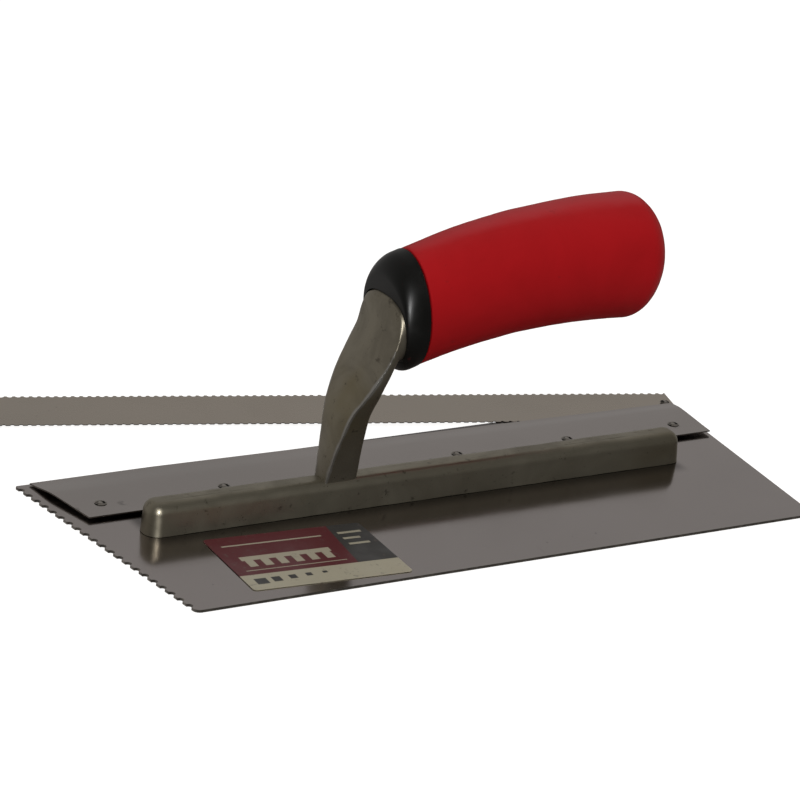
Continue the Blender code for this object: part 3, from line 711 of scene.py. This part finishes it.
def make_blade():
    rear_y = DEPTH / 2 - REAR_INSET
    rear, front = half_length(rear_y), FRONT_LENGTH / 2
    corners = [(-front, -DEPTH / 2), (front, -DEPTH / 2), (rear, rear_y), (-rear, rear_y)]
    outline = rounded_outline(corners, [2.5 * MM, 2.5 * MM, 0.6 * MM, 0.6 * MM])
    row = (END_NOTCH_START, END_NOTCH_PITCH, END_NOTCHES, END_NOTCH_RADIUS)
    outline += notches(corners[3], corners[0], *row, steps=12)
    holes = [(x, y, CLAMP_RIVET_RADIUS) for x, y in clamp_rivet_places()]
    holes += [(x, y, SPINE_RIVET_RADIUS) for x, y in spine_rivet_places()]
    holes.append((*PIVOT, PIVOT_RADIUS))
    cutters = []
    for i, (x, y, radius) in enumerate(holes):
        hole, sink, over = radius + GAP, 0.9 * MM, 1.0 * MM
        profile = [(0, BLADE_TOP + over), (hole, BLADE_TOP + over), (hole, sink)]
        profile += [(hole + sink + over, -over), (0, -over)]
        cutter = turned_mesh(f"blade_hole_{i}", profile, 32)
        cutter.transform(Matrix.Translation((x, y, 0)))
        cutters.append(cutter)
    mesh = cut(flat_mesh("blade", [outline], 0, BLADE_TOP), cutters)
    lay_grain(mesh)
    add_piece("blade", mesh, BLADE, "trowel", ["base_blade"])


def make_strip():
    width, thick, hole = 28.3 * MM, 0.33 * MM, 1.5 * MM
    front_radius, rear_radius = 0.75 * MM, 1.05 * MM
    past_pivot, ahead_of_pivot = 3.7 * MM, 3.2 * MM
    right = past_pivot
    left = right - REAR_LENGTH
    front = -width / 2 - ahead_of_pivot
    rear = front + width
    pitch = REAR_LENGTH / STRIP_NOTCHES
    row = (pitch / 2, pitch, STRIP_NOTCHES)
    outline = [(left, front), *notches((left, front), (right, front), *row, front_radius), (right, front)]
    outline += [(right, rear), *notches((right, rear), (left, rear), *row, rear_radius), (left, rear)]
    low = BLADE_TOP + 0.03 * MM
    mesh = flat_mesh("strip", [outline, circle(0, 0, hole, 32)], low, low + thick)
    lay_grain(mesh)
    mesh.transform(Matrix.Translation((*PIVOT, 0)) @ Matrix.Rotation(STRIP_ANGLE, 4, "Z"))
    add_piece("strip", mesh, STRIP, "strip", ["notched_strip"])


def half_wave(low, high, share):
    return low + (high - low) * (1 - math.cos(math.pi * share)) / 2


def make_clamp_plate():
    """The sheet rises in a half wave from its front edge to its crest, and falls in another to its rear
    edge, which tapers towards the right. The rear left corner is sprung down."""
    front, crest, rear_left, rear_right = 19.7 * MM, 42.0 * MM, 54.6 * MM, 48.8 * MM
    rises = (1.05 * MM, 1.5 * MM, 1.0 * MM)
    corner_drop, corner_reach = 0.62 * MM, 7
    left_insets, right_insets = (7.3 * MM, 5.0 * MM), (0.2 * MM, 1.0 * MM)
    steps, thick, along = 16, 0.5 * MM, 40
    rows = []
    for i in range(2 * steps + 1):
        share = i / steps
        if share < 1:
            y_left = y_right = front + (crest - front) * share
            rise = half_wave(rises[0], rises[1], share)
        else:
            y_left = crest + (rear_left - crest) * (share - 1)
            y_right = crest + (rear_right - crest) * (share - 1)
            rise = half_wave(rises[1], rises[2], share - 1)
        back = (y_left - front) / (rear_left - front)
        insets = [near + (far - near) * back for near, far in (left_insets, right_insets)]
        left, right = insets[0] - half_length(y_left), half_length(y_right) - insets[1]
        ends = Vector((left, y_left, BLADE_TOP + rise)), Vector((right, y_right, BLADE_TOP + rise))
        row = [ends[0].lerp(ends[1], k / along) for k in range(along + 1)]
        for k in range(corner_reach):
            row[k].z -= corner_drop * max(share - 1, 0) * (1 - k / corner_reach)
        rows.append(row)
    shape = bmesh.new()
    grids = []
    for lift in (0, thick):
        grids.append([[shape.verts.new(p + Vector((0, 0, lift))) for p in row] for row in rows])
    for grid in grids:
        for near, far in zip(grid, grid[1:]):
            for k in range(along):
                shape.faces.new((near[k], near[k + 1], far[k + 1], far[k]))
    low, high = grids
    rims = [
        (low[0], high[0]),
        (low[-1], high[-1]),
        ([row[0] for row in low], [row[0] for row in high]),
        ([row[-1] for row in low], [row[-1] for row in high]),
    ]
    for under, over in rims:
        for k in range(len(under) - 1):
            shape.faces.new((under[k], under[k + 1], over[k + 1], over[k]))
    tidy(shape)
    sheet = bpy.data.meshes.new("plate")
    shape.to_mesh(sheet)
    shape.free()
    above_plate = 3 * NECK_BOTTOM
    holes = [
        flat_mesh(f"plate_hole_{i}", [circle(x, y, CLAMP_RIVET_RADIUS + GAP, 32)], BLADE_TOP, above_plate)
        for i, (x, y) in enumerate(clamp_rivet_places())
    ]
    mesh = cut(sheet, holes)
    lay_grain(mesh)
    add_piece("plate", mesh, PLATE, "trowel", ["clamp_plate"], sharp=30)


def make_fasteners():
    """Each clamp rivet's head is a peened ring round a low dome."""
    seat = 2.72 * MM
    ring = [(0, 0.42), (0.3, 0.41), (0.6, 0.38), (0.85, 0.3), (1.0, 0.2), (1.12, 0.14), (1.25, 0.15)]
    ring += [(1.4, 0.22), (1.6, 0.3), (1.8, 0.31), (2.0, 0.27), (2.15, 0.19), (2.26, 0.09), (2.3, 0)]
    head = [(radius * MM, seat + height * MM) for radius, height in ring]
    shank = CLAMP_RIVET_RADIUS
    tail = [(shank, seat), (shank, 1.0 * MM), (2.05 * MM, 0.1 * MM), (0, 0.1 * MM)]
    for i, (x, y) in enumerate(clamp_rivet_places(), 1):
        mesh = turned_mesh(f"clamp_rivet_head_{i}", head + tail)
        node = [f"clamp_rivet_{i}"]
        add_piece(
            mesh.name, mesh, RIVET, "trowel", node, sharp=50, place=(x, y, 0)
        )
    seat = 2.0 * MM
    cap = [(0, 0.6), (0.3, 0.59), (0.7, 0.54), (1.1, 0.45), (1.45, 0.32), (1.7, 0.17)]
    cap += [(1.85, 0.08), (1.9, 0)]
    profile = [(radius * MM, seat + height * MM) for radius, height in cap]
    shank = PIVOT_RADIUS
    profile += [(shank, seat), (shank, 1.0 * MM), (1.95 * MM, 0.1 * MM), (0, 0.1 * MM)]
    mesh = turned_mesh("pivot_pin", profile)
    node = ["strip_pivot_pin"]
    add_piece("pivot_pin", mesh, RIVET, "trowel", node, sharp=50, place=(*PIVOT, 0))


# Spine and neck


def spine_ring(inset, z):
    left, right = SPINE_LEFT + inset, SPINE_RIGHT - inset
    front, rear = SPINE_FRONT + inset, SPINE_FRONT + SPINE_WIDTH - inset
    corners = [(left, front), (right, front), (right, rear), (left, rear)]
    nose, corner = SPINE_NOSE - inset, SPINE_CORNER - inset / 2
    points = rounded_outline(corners, [nose, corner, corner, nose], steps=12, sides=(110, 2))
    return [(x, y, z) for x, y in points]


def make_spine():
    """Its sides lean in, its top is fully rounded, and it is as uneven as a tumbled casting."""
    walls, round_steps = 5, 12
    across, down = SPINE_ROUND
    foot = SPINE_CREST - down
    rings = []
    for i in range(walls):
        rings.append(spine_ring(SPINE_DRAFT * i / walls, SPINE_BOTTOM + (foot - SPINE_BOTTOM) * i / walls))
    for i in range(round_steps + 1):
        turn = math.radians(90) * i / round_steps
        rings.append(spine_ring(SPINE_DRAFT + across * (1 - math.cos(turn)), foot + down * math.sin(turn)))
    rings.append(spine_ring(SPINE_DRAFT + across + 0.9 * MM, SPINE_CREST))
    mesh = loft_mesh("spine_casting", rings)
    dent(mesh, 0.22 * MM, 70)
    dent(mesh, 0.07 * MM, 420)
    add_piece("spine_casting", mesh, SPINE, "trowel", ["spine"], sharp=45)


def neck_sections():
    """From the foot to the handle: outer x and z, inner x and z and half width, all in millimetres, then
    where the widest point is (0 at the outer side, 1 at the inner) and how square the inner side is."""
    foot = NECK_BOTTOM / MM
    return (
        (-46.8, foot, -33.0, foot, 3.9, 0.04, 9.0),
        (-45.6, 21.8, -32.6, 21.3, 5.5, 0.06, 7.0),
        (-44.4, 29.4, -32.2, 28.4, 7.2, 0.08, 5.0),
        (-42.4, 39.2, -31.6, 36.7, 9.6, 0.10, 4.0),
        (-37.9, 49.2, -29.6, 44.7, 12.8, 0.15, 3.2),
        (-32.5, 60.0, -28.0, 50.0, 14.2, 0.20, 2.8),
        (-29.7, 68.5, -26.3, 53.6, 14.2, 0.30, 2.7),
    )


def smooth_between(before, low, high, after, share):
    """A Catmull-Rom curve through low and high."""
    bend = 2 * before - 5 * low + 4 * high - after
    twist = 3 * (low - high) + after - before
    return low + share * (high - before + share * (bend + share * twist)) / 2


def neck_ring(section, crisp):
    """Crisp is 1 where the outer face meets the sides in a ridge, and 0 where the section is an oval."""
    outer_x, outer_z, inner_x, inner_z, half_width, waist, square = section
    outer = Vector((outer_x, MID_Y / MM, outer_z)) * MM
    across = Vector((inner_x, MID_Y / MM, inner_z)) * MM - outer
    points = []
    for i in range(NECK_POINTS):
        turn = 2 * math.pi * i / NECK_POINTS
        side, depth = math.cos(turn), math.sin(turn)
        power = 2 / (square if depth > 0 else 2 + (square - 2) * (1 - crisp))
        spread = math.copysign(abs(side) ** power, side)
        if depth > 0:
            reach = (1 - waist) * abs(depth) ** power
        else:
            reach = -waist * ((1 - crisp) * abs(depth) ** power + crisp * (1 - spread * spread))
        points.append(outer + across * (waist + reach) + Vector((0, spread * half_width * MM, 0)))
    return points


def mark_ridges(mesh, ridge):
    """A point attribute that is 1 on the ridge and falls to 0 at a few millimetres from it."""
    tree = kdtree.KDTree(len(ridge))
    for i, point in enumerate(ridge):
        tree.insert(point, i)
    tree.balance()
    marks = mesh.attributes.new("ridge", "FLOAT", "POINT")
    for vertex in mesh.vertices:
        marks.data[vertex.index].value = max(0.0, 1 - tree.find(vertex.co)[2] / RIDGE_REACH)


def boss_section(s):
    """The neck's round end, square to the handle's centre line at s."""
    centre, up = handle_section(s)
    outer, inner = centre + up * BOSS_TOP, centre - up * BOSS_BOTTOM
    return (*(outer.xz / MM), *(inner.xz / MM), BOSS_HALF_WIDTH / MM, 0.5, BOSS_SQUARE)


def make_neck():
    keys = list(neck_sections())
    keys += [boss_section(-COLLAR_LENGTH - 2 * GAP), boss_section(SOCKET_END)]
    crisps = (1.0, 1.0, 1.0, 1.0, 1.0, 1.0, 0.6, 0.0, 0.0)
    below, rounded = 3, 14  # rings under the neck, and rings at its handle end, that have no ridge
    rings = []
    x, y = (keys[0][0] + keys[0][2]) / 2 * MM, MID_Y
    for radius, depth in ((3.5, 6.5), (3.5, 0.6)):
        turns = (2 * math.pi * i / NECK_POINTS for i in range(NECK_POINTS))
        z = NECK_BOTTOM - depth * MM
        rings.append([(x + radius * MM * math.sin(a), y + radius * MM * math.cos(a), z) for a in turns])
    rings.append([(p[0], p[1], SPINE_TOP - 0.1 * MM) for p in neck_ring(keys[0], 1.0)])
    for i in range(len(keys) - 1):
        steps = 10 if i < len(keys) - 2 else 2
        before, after = keys[max(i - 1, 0)], keys[min(i + 2, len(keys) - 1)]
        for k in range(steps):
            share = k / steps
            rows = zip(before, keys[i], keys[i + 1], after)
            crisp = crisps[i] + (crisps[i + 1] - crisps[i]) * share
            rings.append(neck_ring([smooth_between(*row, share) for row in rows], crisp))
    rings.append(neck_ring(keys[-1], 0.0))
    mesh = loft_mesh("neck_casting", rings)
    edged = rings[below:-rounded]
    mark_ridges(mesh, [ring[0] for ring in edged] + [ring[NECK_POINTS // 2] for ring in edged])
    dent(mesh, 0.18 * MM, 110)
    mesh = cut(mesh, [rod_cutter("neck_bore", TANG_BORE_RADIUS, -GAP, TANG_POCKET_END)])
    add_piece("neck_casting", mesh, SHANK, "trowel", ["shank"], sharp=38)


# Handle


def handle_section(s):
    """The centre and the upward vector of the section at s along the centre line."""
    slope = HANDLE_SLOPE + HANDLE_BEND * s
    x = HANDLE_X + (math.sin(slope) - math.sin(HANDLE_SLOPE)) / HANDLE_BEND
    z = HANDLE_Z - (math.cos(slope) - math.cos(HANDLE_SLOPE)) / HANDLE_BEND
    faded = FRONT_LEAN * min(max(1 - s / LEAN_FADES, 0), 1)
    up = Vector((-math.sin(slope + faded), 0, math.cos(slope + faded))) / math.cos(faded)
    return Vector((x, MID_Y, z)), up


def oval(s, height, width, lift=0.0, square=2.0):
    centre, up = handle_section(s)
    points = []
    for i in range(HANDLE_POINTS):
        turn = 2 * math.pi * i / HANDLE_POINTS
        rise, spread = math.cos(turn), math.sin(turn)
        rise = math.copysign(abs(rise) ** (2 / square), rise)
        spread = math.copysign(abs(spread) ** (2 / square), spread)
        points.append(centre + up * (lift + height * rise) + Vector((0, width * spread, 0)))
    return points


def handle_ring(s, inset=0.0, shrink=1.0, side_inset=None):
    """An oval, moved in by the inset (all round unless the sides have their own) and then shrunk."""
    side_inset = inset if side_inset is None else side_inset
    share = min(max(s / SLEEVE_LENGTH, 0), 1)
    height = HALF_HEIGHT + HALF_HEIGHT_GAIN * share
    width = height * (WIDTH_SHARE_FRONT + (WIDTH_SHARE_REAR - WIDTH_SHARE_FRONT) * share)
    return oval(s, (height - inset) * shrink, (width - side_inset) * shrink)


def dome(end, length, inset, steps):
    """Rings that close a skin towards end over this length, as a quarter oval."""
    turns = [math.radians(88) * (i + 1) / steps for i in range(steps)]
    return [handle_ring(end - length * (1 - math.sin(a)), inset, math.cos(a)) for a in turns]


def along_handle(start, end, steps, inset):
    return [handle_ring(start + (end - start) * i / steps, inset) for i in range(steps + 1)]


def make_sleeve():
    wall, dome_length, lip = 3.0 * MM, 12.9 * MM, 0.7 * MM
    inner_end = SLEEVE_LENGTH - wall - MM
    inner_dome = dome_length - wall
    inner = along_handle(GAP + lip, inner_end - inner_dome, 24, wall)
    inner += dome(inner_end, inner_dome, wall, steps=8)
    rings = inner[::-1]
    rings += [handle_ring(GAP, wall - 0.2 * MM)]
    for i in range(5):
        turn = math.radians(90) * i / 4
        rings.append(handle_ring(GAP + lip * (1 - math.sin(turn)), lip * (1 - math.cos(turn))))
    rings = rings[: len(inner) + 1] + rings[len(inner) + 1 :][::-1]
    rings += along_handle(GAP + lip, SLEEVE_LENGTH - dome_length, 60, 0)[1:]
    rings += dome(SLEEVE_LENGTH, dome_length, 0, steps=20)
    mesh = loft_mesh("grip_skin", rings)
    dent(mesh, 0.30 * MM, 60)
    dent(mesh, 0.08 * MM, 300)
    add_piece("grip_skin", mesh, SLEEVE, "trowel", ["grip_sleeve"], sharp=60)


def make_core():
    """The collar, its oval socket for the neck, and the core inside the sleeve."""
    wide = BOSS_HALF_WIDTH + GAP
    tall, lift = (BOSS_TOP + BOSS_BOTTOM) / 2 + GAP, (BOSS_TOP - BOSS_BOTTOM) / 2
    rings = [
        oval(SOCKET_END + GAP, tall, wide, lift, BOSS_SQUARE),
        oval(-COLLAR_LENGTH + 0.5 * MM, tall, wide, lift, BOSS_SQUARE),
    ]
    mouth = oval(-COLLAR_LENGTH, tall + 0.15 * MM, wide + 0.15 * MM, lift, BOSS_SQUARE)
    face = handle_ring(-COLLAR_LENGTH, COLLAR_ROUND, side_inset=COLLAR_SIDE_ROUND)
    middle = handle_section(-COLLAR_LENGTH)[0]
    land = 1.01
    mouth_edge = [middle + (point - middle) * land for point in mouth]
    rings.append(mouth)
    rings.append([max(pair, key=lambda p: (p - middle).length) for pair in zip(mouth_edge, face)])
    for i in range(1, 13):
        turn = math.radians(90) * i / 12
        s = COLLAR_ROUND * (1 - math.cos(turn)) - COLLAR_LENGTH
        share = 1 - math.sin(turn)
        rings.append(handle_ring(s, COLLAR_ROUND * share, side_inset=COLLAR_SIDE_ROUND * share))
    rings += [handle_ring(-0.25 * MM), handle_ring(0, 0.25 * MM), handle_ring(0, 3.1 * MM)]
    rings += along_handle(0.2 * MM, 88.0 * MM, 30, 3.3 * MM)
    mesh = loft_mesh("handle_collar", rings)
    bore = rod_cutter("core_bore", TANG_BORE_RADIUS, 0, TANG_POCKET_END)
    mesh = cut(mesh, [bore, rod_cutter("nut_pocket", 9.0 * MM, 83.0 * MM, TANG_POCKET_END)])
    add_piece("handle_collar", mesh, CORE, "trowel", ["handle_core"], sharp=40)


def rod_cutter(name, radius, start, end):
    """A round cutter along the tang rod, which rises through the handle at its own slope."""
    over = 12.0 * MM
    foot_x, foot_z = TANG_FOOT
    mesh = flat_mesh(name, [circle(0, 0, radius, 40)], 0, end - start + over)
    place = (foot_x + start * math.cos(TANG_SLOPE), MID_Y, foot_z + start * math.sin(TANG_SLOPE))
    mesh.transform(Matrix.Translation(place) @ Matrix.Rotation(math.pi / 2 - TANG_SLOPE, 4, "Y"))
    return mesh


make_camera()
make_light()
make_floor()

BLADE = sheet_steel(
    "blade_ground", (0.50, 0.455, 0.44), (0.47, 0.43, 0.415), 0.115, 0.12, marking=spine_reflection
)
PLATE = sheet_steel(
    "plate_rolled", (0.49, 0.45, 0.43), (0.46, 0.425, 0.405), 0.16, 0.15, marking=spot_marks
)
STRIP = sheet_steel("strip_satin", (0.56, 0.495, 0.42), (0.52, 0.465, 0.395), 0.24, 0.25, STRIP_ANGLE)
# painted shade: near black, so that the slot under the plate reads dark; the hidden tang parts share it
HIDDEN = sheet_steel("bar_mill", (0.06, 0.056, 0.05), (0.045, 0.042, 0.038), 0.5, 0.5, brushed=0.0)
SPINE = tumbled_alloy("spine_cast", (0.34, 0.310, 0.240), (0.245, 0.210, 0.142), (0.07, 0.061, 0.049), 0.34)
# the shank: sides painted darker as shade, ridges lighter, partly wear and partly a painted highlight
SHANK = tumbled_alloy(
    "shank_cast", (0.31, 0.278, 0.215), (0.23, 0.188, 0.100), (0.08, 0.067, 0.05), 0.38, sides=0.85, worn=0.8
)
TAIL = sheet_steel("rivet_tail", (0.30, 0.275, 0.24), (0.24, 0.22, 0.19), 0.35, 0.4, brushed=0.0)
RIVET = rivet_steel()
CORE = moulded_plastic()
SLEEVE = grip_rubber()
LABEL = printed_label()

make_blade()
make_strip()
make_clamp_plate()
make_fasteners()
make_spine()
make_neck()
make_core()
make_sleeve()
# painted shade: the spacer bar is near black so that the slot under the plate is dark
paint("spacer_bar", HIDDEN)
paint("label_plate", LABEL)
for node in ("tang_rod", "tang_washer", "tang_nut"):
    paint(node, HIDDEN)
for i in range(1, SPINE_RIVETS + 1):
    paint(f"spine_rivet_{i}", TAIL)

light_only("nose_glint", ["spine_casting", "neck_casting", "handle_collar"])
light_only("collar_glint", ["handle_collar"])
bpy.context.scene.view_settings.view_transform = "Standard"
